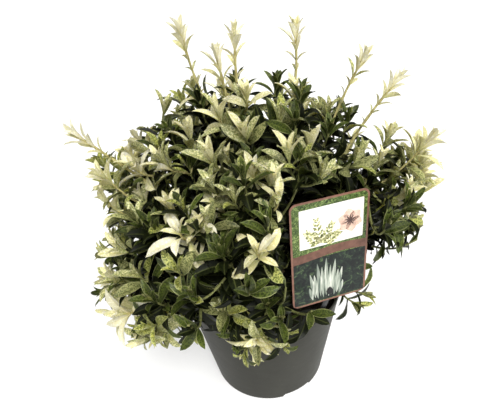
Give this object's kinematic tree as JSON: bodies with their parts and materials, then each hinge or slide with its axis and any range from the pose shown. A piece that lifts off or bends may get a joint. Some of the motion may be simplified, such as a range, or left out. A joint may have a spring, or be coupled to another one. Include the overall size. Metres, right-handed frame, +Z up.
{
  "type": "potted evergreen shrub",
  "caption": "Bushy variegated evergreen shrub in a round tapered nursery pot, with a plain picture label held on a stake in the soil.",
  "frame": {"origin": "centre of the pot's flat underside", "axes": "+Z up, -Y towards the front where the label faces, +X to the right seen from the front"},
  "size_m": [0.4203, 0.3651, 0.447],
  "materials": {
    "grey_plastic": "matte moulded",
    "peat": "loose and dull",
    "bark": "thin young bark",
    "leaves": "leathery, variegated green and cream",
    "printed_card": "printed sheet",
    "black_plastic": "moulded"
  },
  "bodies": {
    "root": {"pot": "grey_plastic", "soil": "peat", "main_stem": "bark", "bough_top": "bark", "bough_high_front": "bark", "bough_high_right": "bark", "bough_high_back_right": "bark", "bough_high_back_left": "bark", "bough_high_left": "bark", "bough_low_right": "bark", "bough_low_back_right": "bark", "bough_low_back": "bark", "bough_low_back_left": "bark", "bough_low_left": "bark", "bough_low_front_left": "bark", "bough_low_front": "bark", "bough_low_front_right": "bark", "foliage_top": "leaves", "foliage_high_front": "leaves", "foliage_high_right": "leaves", "foliage_high_back_right": "leaves", "foliage_high_back_left": "leaves", "foliage_high_left": "leaves", "foliage_low_right": "leaves", "foliage_low_back_right": "leaves", "foliage_low_back": "leaves", "foliage_low_back_left": "leaves", "foliage_low_left": "leaves", "foliage_low_front_left": "leaves", "foliage_low_front": "leaves", "foliage_low_front_right": "leaves", "label": "printed_card", "label_stake": "black_plastic"}
  },
  "joints": []
}
